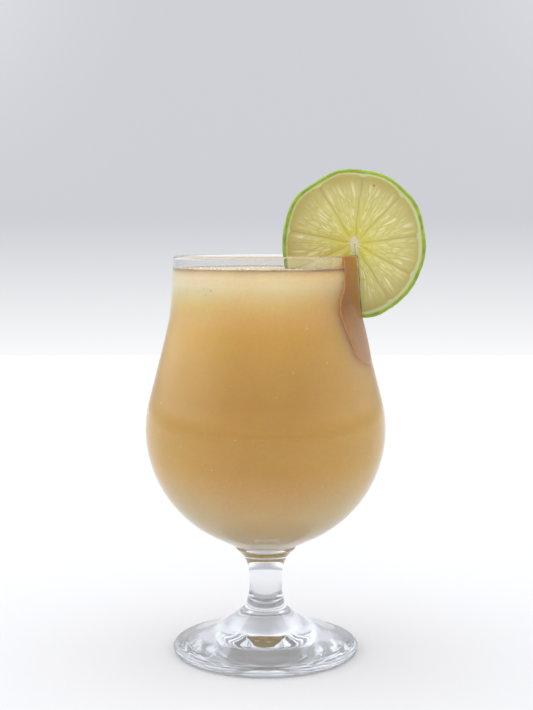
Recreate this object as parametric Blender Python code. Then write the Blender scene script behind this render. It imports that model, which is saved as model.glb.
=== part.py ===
"""A tulip glass of frozen daiquiri with a lime wheel on its rim.

Metres, +Z up. The origin is the centre of the foot's underside, on the glass's axis, and the lime
wheel sits on the rim at +X with its flat faces towards -Y and +Y.
"""

import bisect
import math

import bmesh
import bpy

# Glass: a solid foot and stem, pressed in one piece with a tulip bowl.
GLASS_HEIGHT = 0.1500
RIM_RADIUS = 0.0343
RIM_WALL = 0.0018
RIM_SLOPE = -0.074  # the collar still leans in a little where it reaches the rim
BOWL_RADIUS = 0.0452
BOWL_CENTRE_Z = 0.0850
SHOULDER_DEG = 14.9  # where the round bowl turns into the shoulder
BOWL_END_DEG = -62.0  # where it turns into the cone over the stem
SHOULDER_PULL = 0.0373
COLLAR_PULL = 0.0249
STEM_TOP = (0.0118, 0.0397)
STEM_WAIST = (0.00612, 0.0260)
STEM_FOOT = (0.0081, 0.0164)
FOOT_RADIUS = 0.03525
FOOT_EDGE_Z = 0.0015
FOOT_LIP = (0.0336, 0.0029)
FOOT_FLAT_RADIUS = 0.0316

# The inside of the bowl.
WELL_RADIUS = 0.0428
WELL_CENTRE_Z = 0.0861

# Drink: filled to just below the rim, with a small curl where it wets the wall.
DRINK_LEVEL = 0.1450
CURL_HEIGHT = 0.0005
CURL_WIDTH = 0.0012

# Lime wheel.
LIME_CENTRE = (0.03285, 0.0, 0.15432)
LIME_RADIUS = 0.02725
LIME_THICKNESS = 0.0050
LIME_LUMPS = (  # waves of the outline: how many round it, height in metres, where one crest is
    (2, 0.00041, 92.0),
    (3, 0.00011, 58.0),
    (4, 0.00018, 39.0),
    (5, 0.00014, 0.0),
    (6, 0.00009, 34.0),
    (7, 0.00013, 41.0),
    (8, 0.00011, 17.0),
    (10, 0.00017, 31.0),
)
MEMBRANES_DEG = (83.2, 46.4, 7.1, -27.7, -57.7, -93.0, -125.0, -156.0, 168.3, 122.0)
PULP_END = 0.875  # share of the radius where the pulp meets the white pith
CORE_END = 0.070
PULP_DOME = 0.00032
PULP_EDGE = 0.0009
RIND_ROUNDING = 0.0007

# The drink that ran over the rim when the wheel was pushed on: a film on the wall.
SPILL_START_Z = 0.1460  # inside the bowl, just above the drink
SPILL_END_Z = 0.1106
SPILL_EDGE_THICKNESS = 0.00030
SPILL_THICKNESS = (  # height and thickness down its middle
    (0.1500, 0.00038),
    (0.1350, 0.00055),
    (0.1200, 0.00065),
    (0.1106, 0.00032),
)
SPILL_LEFT = (  # height and azimuth of its free edge, from -Y towards +X
    (0.1500, 54.6),
    (0.1395, 53.6),
    (0.1342, 49.2),
    (0.1300, 48.3),
    (0.1235, 51.8),
    (0.1153, 56.4),
    (0.1128, 60.0),
    (0.1114, 66.5),
    (0.1106, 73.5),
)
SPILL_RIGHT = (  # height and azimuth of the edge beside the wheel
    (0.1500, 84.2),
    (0.1256, 84.2),
    (0.1225, 87.0),
    (0.1170, 86.0),
    (0.1125, 80.5),
    (0.1106, 75.5),
)

GAP = 0.00032  # between pieces that touch
LATHE_STEPS = 48


def arc(centre_z, radius, start_deg, end_deg, steps):
    """Points of a circle about the axis point at centre_z, as (radius, height)."""
    found = []
    for i in range(steps + 1):
        angle = math.radians(start_deg + (end_deg - start_deg) * i / steps)
        found.append((radius * math.cos(angle), centre_z + radius * math.sin(angle)))
    return found


def curve(p0, p1, p2, p3, steps):
    """Points of a cubic curve from p0 to p3, without p0."""
    found = []
    for i in range(1, steps + 1):
        t = i / steps
        weights = ((1 - t) ** 3, 3 * t * (1 - t) ** 2, 3 * t * t * (1 - t), t ** 3)
        found.append(tuple(
            sum(w * p[k] for w, p in zip(weights, (p0, p1, p2, p3))) for k in (0, 1)
        ))
    return found


def shoulder(bowl_centre_z, bowl_radius, rim_radius, rim_z, steps):
    """The S-shaped run from the round bowl up to the rim, bottom to top, with both ends."""
    start = math.radians(SHOULDER_DEG)
    low = (bowl_radius * math.cos(start), bowl_centre_z + bowl_radius * math.sin(start))
    high = (rim_radius, rim_z)
    pull_low = (low[0] - SHOULDER_PULL * math.sin(start), low[1] + SHOULDER_PULL * math.cos(start))
    pull_high = (high[0] - COLLAR_PULL * RIM_SLOPE, high[1] - COLLAR_PULL)
    return [low] + curve(low, pull_low, pull_high, high, steps)


def inner_wall(clearance=0.0, bowl_steps=8, shoulder_steps=7):
    """The inside of the glass from its lowest point up to the rim's rounding, moved in by clearance."""
    rim_z = GLASS_HEIGHT - RIM_WALL / 2
    radius = WELL_RADIUS - clearance
    well = arc(WELL_CENTRE_Z, radius, -90.0, SHOULDER_DEG, bowl_steps)
    rim = RIM_RADIUS - RIM_WALL - clearance
    return well[:-1] + shoulder(WELL_CENTRE_Z, radius, rim, rim_z, shoulder_steps)


def outer_bowl(clearance=0.0, shoulder_steps=9, bowl_steps=11):
    """The outside of the bowl from the rim's rounding down to the cone over the stem."""
    rim_z = GLASS_HEIGHT - RIM_WALL / 2
    radius = BOWL_RADIUS + clearance
    upper = shoulder(BOWL_CENTRE_Z, radius, RIM_RADIUS + clearance, rim_z, shoulder_steps)
    lower = arc(BOWL_CENTRE_Z, radius, SHOULDER_DEG, BOWL_END_DEG, bowl_steps)
    return upper[::-1] + lower[1:]


def rim_rounding(clearance=0.0, steps=4):
    """The half-round top of the wall, from the inside to the outside, without its two ends."""
    centre = RIM_RADIUS - RIM_WALL / 2
    radius = RIM_WALL / 2 + clearance
    base_z = GLASS_HEIGHT - RIM_WALL / 2
    found = []
    for i in range(1, steps):
        angle = math.pi * (1 - i / steps)
        found.append((centre + radius * math.cos(angle), base_z + radius * math.sin(angle)))
    return found


def stem_and_foot():
    """The stem's two flares, the foot's sloping top and its rounded edge, top to bottom."""
    waist_r, waist_z = STEM_WAIST
    flare = [STEM_TOP] + curve(
        STEM_TOP, (0.0108, 0.0374), (waist_r, waist_z + 0.0115), STEM_WAIST, 6
    )
    spread = curve(STEM_WAIST, (waist_r, waist_z - 0.0045), (0.0071, 0.0184), STEM_FOOT, 4)
    slope = curve(STEM_FOOT, (0.0130, 0.0122), (0.0240, 0.0046), FOOT_LIP, 5)
    edge = (FOOT_RADIUS, FOOT_EDGE_Z)
    over = curve(FOOT_LIP, (0.0347, 0.00275), (FOOT_RADIUS, 0.0022), edge, 3)
    under = curve(edge, (FOOT_RADIUS, 0.0007), (0.0342, 0.0), (FOOT_FLAT_RADIUS, 0.0), 3)
    return flare + spread + slope + over + under


def glass_outline():
    """From the lowest point inside, up and over the rim, and down the outside to the foot's centre."""
    return inner_wall() + rim_rounding() + outer_bowl() + stem_and_foot() + [(0.0, 0.0)]


def drink_outline():
    """The drink from its lowest point up the wall to the curl at its edge, and in over its top."""
    wall = [p for p in inner_wall(GAP) if p[1] < DRINK_LEVEL - CURL_HEIGHT]
    collar = inner_wall(GAP, shoulder_steps=40)
    edge_z = DRINK_LEVEL + CURL_HEIGHT
    edge_r = radius_at(collar, edge_z)
    top = [
        (edge_r, edge_z),
        (edge_r - 0.3 * CURL_WIDTH, DRINK_LEVEL + 0.35 * CURL_HEIGHT),
        (edge_r - CURL_WIDTH, DRINK_LEVEL),
        (0.0, DRINK_LEVEL),
    ]
    return wall + top


def radius_at(points, height):
    """Radius where a line of (radius, height) points, ordered by height, passes a height."""
    for (r0, z0), (r1, z1) in zip(points, points[1:]):
        if min(z0, z1) <= height <= max(z0, z1) and z0 != z1:
            return r0 + (r1 - r0) * (height - z0) / (z1 - z0)
    return points[-1][0]


def surface(name, colour, roughness, transmission=0.0, ior=1.45):
    """A Principled material. Colours are linear."""
    made = bpy.data.materials.new(name)
    made.use_nodes = True
    shader = made.node_tree.nodes["Principled BSDF"]
    shader.inputs["Base Color"].default_value = (*colour, 1.0)
    shader.inputs["Roughness"].default_value = roughness
    shader.inputs["Metallic"].default_value = 0.0
    shader.inputs["Transmission Weight"].default_value = transmission
    shader.inputs["IOR"].default_value = ior
    return made


def object_of(name, mesh, material):
    made = bpy.data.objects.new(name, mesh)
    bpy.context.scene.collection.objects.link(made)
    if material is not None:
        mesh.materials.append(material)
    return made


def turned(name, outline, material=None, steps=LATHE_STEPS):
    """A solid of revolution: its half outline goes up the inside and down the outside."""
    mesh = bpy.data.meshes.new(name)
    edges = [(i, i + 1) for i in range(len(outline) - 1)]
    mesh.from_pydata([(r, 0.0, z) for r, z in outline], edges, [])
    made = object_of(name, mesh, material)
    screw = made.modifiers.new("Lathe", "SCREW")
    screw.axis = "Z"
    screw.angle = 2 * math.pi
    screw.steps = steps
    screw.render_steps = steps
    screw.use_merge_vertices = True
    screw.merge_threshold = 0.00001
    screw.use_smooth_shade = True
    return made


def cut_by(piece, cutter):
    """Takes the cutter's volume off a piece, and hides the cutter."""
    boolean = piece.modifiers.new("Cut by " + cutter.name, "BOOLEAN")
    boolean.operation = "DIFFERENCE"
    boolean.object = cutter
    cutter.hide_render = True
    cutter.display_type = "WIRE"


def lime_radius(angle):
    """The wheel's lumpy outline. The angle is in radians, anticlockwise from +X as seen from -Y."""
    waves = sum(
        height * math.cos(count * (angle - math.radians(crest)))
        for count, height, crest in LIME_LUMPS
    )
    return LIME_RADIUS + waves


def lime_relief(angle, share):
    """How far the cut face stands out at a point: each segment's pulp is a low dome."""
    distance = share * lime_radius(angle)
    nearest = min(
        abs(math.remainder(angle - math.radians(m), 2 * math.pi)) for m in MEMBRANES_DEG
    )
    to_membrane = distance * math.sin(min(nearest, math.pi / 2))
    to_pith = (PULP_END - share) * LIME_RADIUS
    to_core = (share - CORE_END) * LIME_RADIUS
    inside = max(0.0, min(to_membrane, to_pith, to_core))
    return PULP_DOME * (1.0 - math.exp(-inside / PULP_EDGE))


def lime_angles():
    """Angles round the wheel, closer together beside each membrane."""
    shares = (0.0, 0.07, 0.22, 0.41, 0.59, 0.78, 0.93)
    starts = sorted(m % 360.0 for m in MEMBRANES_DEG)
    ends = starts[1:] + [starts[0] + 360.0]
    return [math.radians(a + (b - a) * s) for a, b in zip(starts, ends) for s in shares]


def lime_place(angle, distance, depth):
    """A point of the wheel: its faces look along -Y and +Y."""
    x, y, z = LIME_CENTRE
    return (x + distance * math.cos(angle), y + depth, z + distance * math.sin(angle))


def lime_mesh():
    """Two cut faces with their segments in relief, joined by a rounded band of rind."""
    rings = (CORE_END, 0.12, 0.30, 0.50, 0.70, 0.82, PULP_END, 0.94)
    angles = lime_angles()
    half = LIME_THICKNESS / 2
    shape = bmesh.new()
    loops = []
    for side in (-1.0, 1.0):
        rows = []
        for share in rings:
            rows.append([
                shape.verts.new(lime_place(
                    a, share * lime_radius(a), side * (half + lime_relief(a, share))
                ))
                for a in angles
            ])
        for inset, depth in ((RIND_ROUNDING, half), (0.2 * RIND_ROUNDING, half - RIND_ROUNDING)):
            rows.append([
                shape.verts.new(lime_place(a, lime_radius(a) - inset, side * depth)) for a in angles
            ])
        middle = shape.verts.new(lime_place(0.0, 0.0, side * half))
        loops.append((rows, middle))
    count = len(angles)
    for rows, middle in loops:
        for i in range(count):
            j = (i + 1) % count
            shape.faces.new((middle, rows[0][i], rows[0][j]))
            for near, far in zip(rows, rows[1:]):
                shape.faces.new((near[i], far[i], far[j], near[j]))
    band = [
        shape.verts.new(lime_place(a, lime_radius(a), 0.0)) for a in angles
    ]
    for i in range(count):
        j = (i + 1) % count
        shape.faces.new((loops[0][0][-1][i], band[i], band[j], loops[0][0][-1][j]))
        shape.faces.new((band[i], loops[1][0][-1][i], loops[1][0][-1][j], band[j]))
    bmesh.ops.recalc_face_normals(shape, faces=shape.faces)
    mesh = bpy.data.meshes.new("lime_wheel")
    shape.to_mesh(mesh)
    shape.free()
    mesh.shade_smooth()
    return mesh


def block_mesh(name, low, high):
    """A box between two corners."""
    shape = bmesh.new()
    bmesh.ops.create_cube(shape, size=1.0)
    for v in shape.verts:
        v.co = [a + (b - a) * (c + 0.5) for a, b, c in zip(low, high, v.co)]
    mesh = bpy.data.meshes.new(name)
    shape.to_mesh(mesh)
    shape.free()
    return mesh


def wall_cutter():
    """The wall of the glass with clearance all round: the slit of the wheel fits over it."""
    lowest = LIME_CENTRE[2] - LIME_RADIUS - 0.004
    inside = [p for p in inner_wall(GAP, shoulder_steps=14) if p[1] > lowest]
    outside = [p for p in outer_bowl(GAP, shoulder_steps=14) if p[1] > lowest]
    outline = inside + rim_rounding(GAP, steps=6) + outside
    outline.append((inside[0][0], outside[-1][1]))
    outline.append(inside[0])
    return turned("wall_cutter", outline, steps=96)


def knife_cutter():
    """The cut that lets the wheel open, from its core down to the rim."""
    x, _, z = LIME_CENTRE
    half_width = 0.00035
    deep = LIME_THICKNESS
    rim_middle = RIM_RADIUS - RIM_WALL / 2
    low = (rim_middle - half_width, -deep, GLASS_HEIGHT - RIM_WALL / 4)
    high = (rim_middle + half_width, deep, z - 0.0012)
    return object_of("knife_cutter", block_mesh("knife_cutter", low, high), None)


def sunk_cutter():
    """The space that the wheel takes up in the drink."""
    depth = LIME_THICKNESS / 2 + PULP_DOME + GAP
    shape = bmesh.new()
    count = 60
    ring = []
    for i in range(count):
        angle = 2 * math.pi * i / count
        ring.append(shape.verts.new(lime_place(angle, lime_radius(angle) + GAP, -depth)))
    face = shape.faces.new(ring)
    grown = bmesh.ops.extrude_face_region(shape, geom=[face])
    moved = [v for v in grown["geom"] if isinstance(v, bmesh.types.BMVert)]
    bmesh.ops.translate(shape, verts=moved, vec=(0.0, 2 * depth, 0.0))
    bmesh.ops.recalc_face_normals(shape, faces=shape.faces)
    mesh = bpy.data.meshes.new("sunk_cutter")
    shape.to_mesh(mesh)
    shape.free()
    return object_of("sunk_cutter", mesh, None)


def value_at(stations, height):
    """The value at a height, on a smooth line through stations of (height, value)."""
    rising = sorted(stations)
    heights = [h for h, _ in rising]
    values = [v for _, v in rising]
    last = len(rising) - 1
    if height <= heights[0]:
        return values[0]
    if height >= heights[-1]:
        return values[-1]
    slopes = []
    for i in range(last + 1):
        low, high = max(i - 1, 0), min(i + 1, last)
        slopes.append((values[high] - values[low]) / (heights[high] - heights[low]))
    i = bisect.bisect_right(heights, height) - 1
    step = heights[i + 1] - heights[i]
    t = (height - heights[i]) / step
    return (
        values[i] * (1 + 2 * t) * (1 - t) ** 2
        + slopes[i] * step * t * (1 - t) ** 2
        + values[i + 1] * t * t * (3 - 2 * t)
        - slopes[i + 1] * step * t * t * (1 - t)
    )


def spill_path():
    """The film's way over the wall: up the inside, over the rim and down the outside."""
    inside = [p for p in inner_wall(shoulder_steps=36) if p[1] > SPILL_START_Z]
    outside = [p for p in outer_bowl(shoulder_steps=26) if p[1] > SPILL_END_Z]
    start = (radius_at(inner_wall(shoulder_steps=36), SPILL_START_Z), SPILL_START_Z)
    end = (radius_at(outer_bowl(shoulder_steps=36)[::-1], SPILL_END_Z), SPILL_END_Z)
    return [start] + inside + rim_rounding(steps=6) + outside + [end]


def spill_rows(across):
    """Rows of points across the film, along its path: its back on the wall, and its front."""
    path = spill_path()
    rim_at = max(range(len(path)), key=lambda i: path[i][1])
    back, front = [], []
    for i, (r, z) in enumerate(path):
        (r0, z0), (r1, z1) = path[max(i - 1, 0)], path[min(i + 1, len(path) - 1)]
        length = math.hypot(r1 - r0, z1 - z0)
        normal = ((z0 - z1) / length, (r1 - r0) / length)
        station = GLASS_HEIGHT if i <= rim_at else z
        left = value_at(SPILL_LEFT, station)
        right = value_at(SPILL_RIGHT, station)
        middle = value_at(SPILL_THICKNESS, station)
        rows = ([], [])
        for k in range(across + 1):
            share = k / across
            azimuth = math.radians(left + (right - left) * share)
            swell = 1.0 - (2 * share - 1) ** 4
            thickness = SPILL_EDGE_THICKNESS + (middle - SPILL_EDGE_THICKNESS) * swell
            for row, offset in zip(rows, (GAP, GAP + thickness)):
                radius = r + normal[0] * offset
                height = z + normal[1] * offset
                row.append((radius * math.sin(azimuth), -radius * math.cos(azimuth), height))
        back.append(rows[0])
        front.append(rows[1])
    return back, front


def spill_mesh(across=8):
    """The film as a closed skin: back, front and the edge all round."""
    shape = bmesh.new()
    back, front = [
        [[shape.verts.new(p) for p in row] for row in skin] for skin in spill_rows(across)
    ]
    for skin in (back, front):
        for low, high in zip(skin, skin[1:]):
            for k in range(across):
                shape.faces.new((low[k], low[k + 1], high[k + 1], high[k]))
    for i in range(len(back) - 1):
        for k in (0, across):
            shape.faces.new((back[i][k], back[i + 1][k], front[i + 1][k], front[i][k]))
    for i in (0, len(back) - 1):
        for k in range(across):
            shape.faces.new((back[i][k], back[i][k + 1], front[i][k + 1], front[i][k]))
    bmesh.ops.recalc_face_normals(shape, faces=shape.faces)
    mesh = bpy.data.meshes.new("drink_spill")
    shape.to_mesh(mesh)
    shape.free()
    mesh.shade_smooth()
    return mesh


def build():
    for old in list(bpy.data.objects):
        bpy.data.objects.remove(old)
    clear = surface("glass", (0.95, 0.96, 0.97), 0.02, transmission=1.0, ior=1.52)
    daiquiri = surface("drink", (0.55, 0.36, 0.14), 0.35)
    fruit = surface("lime", (0.52, 0.55, 0.16), 0.35)

    turned("glass", glass_outline(), clear)
    drink = turned("drink", drink_outline()[::-1], daiquiri)
    wheel = object_of("lime_wheel", lime_mesh(), fruit)
    object_of("drink_spill", spill_mesh(), daiquiri)

    cut_by(drink, sunk_cutter())
    cut_by(wheel, wall_cutter())
    cut_by(wheel, knife_cutter())


build()
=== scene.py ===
"""A frozen daiquiri in its tulip glass, with a lime wheel on the rim: the finished looks.

Metres, +Z up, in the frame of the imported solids: the glass's axis is the Z axis, and the lime wheel
is at +X with its faces towards -Y and +Y.
"""

import bisect
import math

import bmesh
import bpy
import numpy as np
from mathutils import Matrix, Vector


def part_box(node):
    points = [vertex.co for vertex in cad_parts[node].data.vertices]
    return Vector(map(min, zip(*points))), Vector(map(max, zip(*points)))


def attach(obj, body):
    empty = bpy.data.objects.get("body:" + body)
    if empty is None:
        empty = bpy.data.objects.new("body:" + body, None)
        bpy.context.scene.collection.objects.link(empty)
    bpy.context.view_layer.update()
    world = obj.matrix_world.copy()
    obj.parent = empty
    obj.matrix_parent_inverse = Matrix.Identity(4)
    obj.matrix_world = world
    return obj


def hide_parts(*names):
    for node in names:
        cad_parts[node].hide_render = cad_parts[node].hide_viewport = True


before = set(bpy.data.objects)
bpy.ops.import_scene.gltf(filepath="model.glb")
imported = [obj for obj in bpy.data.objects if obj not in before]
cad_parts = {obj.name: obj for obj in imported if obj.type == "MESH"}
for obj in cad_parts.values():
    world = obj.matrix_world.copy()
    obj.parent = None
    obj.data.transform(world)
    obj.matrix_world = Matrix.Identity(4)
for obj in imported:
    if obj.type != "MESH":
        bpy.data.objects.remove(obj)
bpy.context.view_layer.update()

MM = 0.001

# The glass's profile. Its sizes are the solid's, but for the rim's rounding, the top of the stem and
# the hollow under the foot, which follow the photograph more closely.
GLASS_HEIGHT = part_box("glass")[1].z
RIM_RADIUS = 34.3 * MM
RIM_WALL = 1.8 * MM
RIM_ROUNDING = 0.5 * MM
RIM_SLOPE = -0.074
BOWL_RADIUS = 45.2 * MM
BOWL_CENTRE_Z = 85.0 * MM
SHOULDER_DEG = 14.9
BOWL_END_DEG = -62.0
SHOULDER_PULL = 37.3 * MM
COLLAR_PULL = 24.9 * MM
STEM_TOP = (12.5 * MM, 40.6 * MM)
STEM_GROOVE = (11.3 * MM, 41.0 * MM)  # the corner between bowl and stem is drawn in towards this
STEM_GROOVE_REACH = 1.6 * MM
STEM_WAIST = (6.12 * MM, 26.0 * MM)
STEM_FOOT = (8.1 * MM, 16.4 * MM)
STEM_FOOT_REACH = 0.6 * MM
FOOT_RADIUS = 35.25 * MM
FOOT_LIP = (33.6 * MM, 2.9 * MM)
FOOT_FLAT_RADIUS = 31.6 * MM
FOOT_HOLLOW = (  # distance from the axis, and how steeply the underside rises inward there
    (0.0, 0.0), (4 * MM, -0.007), (8 * MM, 0.03), (12 * MM, 0.282), (16 * MM, 0.20),
    (20 * MM, 0.329), (24 * MM, 0.202), (28 * MM, 0.154), (31.6 * MM, -0.1),
)
WELL_RADIUS = 42.8 * MM
WELL_CENTRE_Z = 86.1 * MM
GLASS_SEGMENTS = 288

# The drink.
DRINK_LEVEL = 145.0 * MM
DRINK_BOTTOM = 43.0 * MM
# The drink's colour from its bottom (0) to its level (1), with painted light and shade: paler at the
# bottom and in a band under the level, as painted light, and darker at the level itself, as painted
# shade.
DAIQUIRI_COLOUR_AND_LIGHT_BY_HEIGHT = (
    (0.0, "#FFE6C2"), (0.13, "#FFDCA4"), (0.32, "#EABF65"), (0.55, "#E2B558"), (0.78, "#F0CA66"),
    (0.88, "#FFDE98"), (0.945, "#FFE8CA"), (0.973, "#EEDABA"), (0.992, "#C8B496"), (1.0, "#B29E80"),
)
CURL_HEIGHT = 0.5 * MM
CURL_WIDTH = 1.4 * MM
INTO_WALL = 0.12 * MM  # the drink reaches this far into the glass, so that no air shows between

# The shares of red, green and blue that the drink's colour gains out at its sides and again low
# down at its sides, as painted light, and loses high up beside the lime, as the lime wheel's painted
# shade, and where each of these sets in and is full.
FLANK_PAINTED_LIGHT = (0.05, 0.08, 0.22)
LOW_FLANK_PAINTED_LIGHT = (0.03, 0.09, 0.22)
LIME_PAINTED_SHADE = (-0.04, -0.22, -0.57)
FLANK_X = (8 * MM, 38 * MM)
LIME_SHADE_X = (6 * MM, 32 * MM)
HIGH_Z = (98 * MM, 128 * MM)

# How far red, green and blue light scatters in the drink, as shares of a distance that is less in
# the skin under its level.
SCATTER_SHARES = (1.0, 0.75, 0.45)
SCATTER_DEEP = 28 * MM
SCATTER_AT_LEVEL = 2 * MM
SKIN = 1.4 * MM

WALL_BUBBLES, LEVEL_BUBBLES, TOP_BUBBLES = 150, 130, 160

# The lime wheel.
LIME_X = 32.85 * MM
LIME_Z = 154.32 * MM
LIME_RADIUS = 27.25 * MM
LIME_HALF = 2.5 * MM
LIME_LUMPS = (
    (2, 0.41 * MM, 92.0),
    (3, 0.11 * MM, 58.0),
    (4, 0.18 * MM, 39.0),
    (5, 0.14 * MM, 0.0),
    (6, 0.09 * MM, 34.0),
    (7, 0.13 * MM, 41.0),
    (8, 0.11 * MM, 17.0),
    (10, 0.17 * MM, 31.0),
)
MEMBRANES_DEG = (83.2, 46.4, 7.1, -27.7, -57.7, -93.0, -125.0, -156.0, 168.3, 122.0)
RIND_WIDTH = 1.05 * MM
PITH_WIDTH = 1.45 * MM
MEMBRANE_HALF = 0.17 * MM
SEGMENT_CORNER = 2.0 * MM
CORE_HALF = (1.25 * MM, 2.7 * MM)
SPECK = (40.0 * MM, 175.8 * MM)
SACS_SWELL = 0.24 * MM
SAC_RELIEF = 0.16 * MM
KNIFE_HALF = 0.2 * MM
KNIFE_UNCUT = 2.25 * MM  # on each side of the wheel's middle, where the cut is pressed shut

# The film of drink that ran over the rim.
SPILL_START_Z = 145.3 * MM
SPILL_END_Z = 110.6 * MM
SPILL_THICKNESS = (
    (150.0 * MM, 0.34 * MM),
    (135.0 * MM, 0.42 * MM),
    (120.0 * MM, 0.45 * MM),
    (110.6 * MM, 0.25 * MM),
)
SPILL_LEFT = (
    (150.0 * MM, 54.6),
    (139.5 * MM, 53.6),
    (134.2 * MM, 49.2),
    (130.0 * MM, 48.3),
    (123.5 * MM, 51.8),
    (115.3 * MM, 56.4),
    (112.8 * MM, 60.0),
    (111.4 * MM, 66.5),
    (110.6 * MM, 73.5),
)
SPILL_RIGHT = (
    (150.0 * MM, 75.0),
    (135.0 * MM, 76.0),
    (128.0 * MM, 80.0),
    (122.5 * MM, 85.0),
    (117.0 * MM, 84.5),
    (112.5 * MM, 80.0),
    (110.6 * MM, 75.5),
)
SPILL_CREEP = 26.0  # degrees that the film reaches farther along the wall at the drink's surface
SPILL_CREEP_HEIGHT = 0.8 * MM

# The film's colour up its height, painted darker than the drink in the glass, as painted shade. Its edges
# are painted paler within FILM_EDGE of each side, as a painted highlight.
FILM_COLOUR_AND_SHADE = ((0.0, "#A27E5A"), (0.35, "#9B7142"), (0.65, "#885A27"), (1.0, "#9A6830"))
FILM_EDGE = 0.45 * MM
FILM_ROUNDING = 1.3 * MM
FILM_BACK = 0.04 * MM  # the film's back is this far inside the glass

# The camera of the photograph.
CAMERA_X = 0.33 * MM
CAMERA_DISTANCE = 482.7 * MM
CAMERA_HEIGHT = 157.9 * MM
CAMERA_PITCH_DEG = 5.348
IMAGE_SIZE = (533, 710)
FOCAL_PIXELS = 1290.0
SENSOR_MM = 36.0

# The paper floor: half its width in metres, and its height, just clear of the foot.
FLOOR_HALF = 1.2
FLOOR_Z = -0.15 * MM

# The light tent: its walls from straight down (0) to straight up (1), and the lamps behind them,
# each with its direction, the cosine where its glow ends, its strength, and how high over the
# horizon (as a share of straight up) it has its whole strength. No lamp reaches below the horizon.
TENT_STOPS = (
    (0.0, "#FCFCFD"), (0.452, "#FCFCFD"), (0.478, "#E6E8EB"), (0.505, "#CED0D5"), (1.0, "#D1D3D8"),
)
TENT_LAMPS = (
    ((0.0, 0.10, 0.99), 0.30, 1.35, 0.30),
    ((0.0, -0.95, 0.30), 0.20, 0.50, 0.04),
    ((-0.93, 0.25, 0.28), 0.35, 1.60, 0.20),
    ((0.93, 0.25, 0.28), 0.35, 1.10, 0.20),
)


# Curves


def arc(centre_z, radius, start_deg, end_deg, steps):
    """Points of a circle about an axis point, as (radius, height)."""
    angles = np.radians(np.linspace(start_deg, end_deg, steps + 1))
    return [(radius * math.cos(a), centre_z + radius * math.sin(a)) for a in angles]


def curve(p0, p1, p2, p3, steps):
    """Points of a cubic curve from p0 to p3, without p0."""
    found = []
    for t in np.linspace(0, 1, steps + 1)[1:]:
        weights = ((1 - t) ** 3, 3 * t * (1 - t) ** 2, 3 * t * t * (1 - t), t ** 3)
        found.append(tuple(
            sum(w * p[k] for w, p in zip(weights, (p0, p1, p2, p3))) for k in (0, 1)
        ))
    return found


def eased_corner(points, corner, reach):
    """A line of points whose stretch within a reach of a corner is redrawn as one soft bend."""
    near = [math.dist(p, corner) < reach for p in points]
    first = near.index(True)
    last = len(near) - 1 - near[::-1].index(True)
    before, after = points[first - 1], points[last + 1]
    bend = curve(before, corner, corner, after, 12)
    return points[:first] + bend[:-1] + points[last + 1:]


def shoulder(centre_z, radius, rim_radius, rim_z, steps):
    """The S-shaped run from the round bowl up to the rim, with both ends."""
    start = math.radians(SHOULDER_DEG)
    low = (radius * math.cos(start), centre_z + radius * math.sin(start))
    high = (rim_radius, rim_z)
    pull_low = (low[0] - SHOULDER_PULL * math.sin(start), low[1] + SHOULDER_PULL * math.cos(start))
    pull_high = (high[0] - COLLAR_PULL * RIM_SLOPE, high[1] - COLLAR_PULL)
    return [low] + curve(low, pull_low, pull_high, high, steps)


def inner_wall(clearance=0.0):
    """The inside of the glass, from its lowest point up to the rim's rounding."""
    radius = WELL_RADIUS - clearance
    rim = RIM_RADIUS - RIM_WALL - clearance
    well = arc(WELL_CENTRE_Z, radius, -90.0, SHOULDER_DEG, 90)
    return well[:-1] + shoulder(WELL_CENTRE_Z, radius, rim, GLASS_HEIGHT - RIM_ROUNDING, 70)


def outer_bowl(clearance=0.0):
    """The outside of the bowl, from the rim's rounding down to the cone over the stem."""
    radius = BOWL_RADIUS + clearance
    rim_z = GLASS_HEIGHT - RIM_ROUNDING
    upper = shoulder(BOWL_CENTRE_Z, radius, RIM_RADIUS + clearance, rim_z, 70)
    return upper[::-1] + arc(BOWL_CENTRE_Z, radius, SHOULDER_DEG, BOWL_END_DEG, 80)[1:]


def rim_rounding(clearance=0.0, steps=16):
    """The rounded top of the wall, from inside to outside, without its two ends."""
    centre = RIM_RADIUS - RIM_WALL / 2
    across, up = RIM_WALL / 2 + clearance, RIM_ROUNDING + clearance
    angles = np.linspace(math.pi, 0, steps + 1)[1:-1]
    base = GLASS_HEIGHT - RIM_ROUNDING
    return [(centre + across * math.cos(a), base + up * math.sin(a)) for a in angles]


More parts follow.
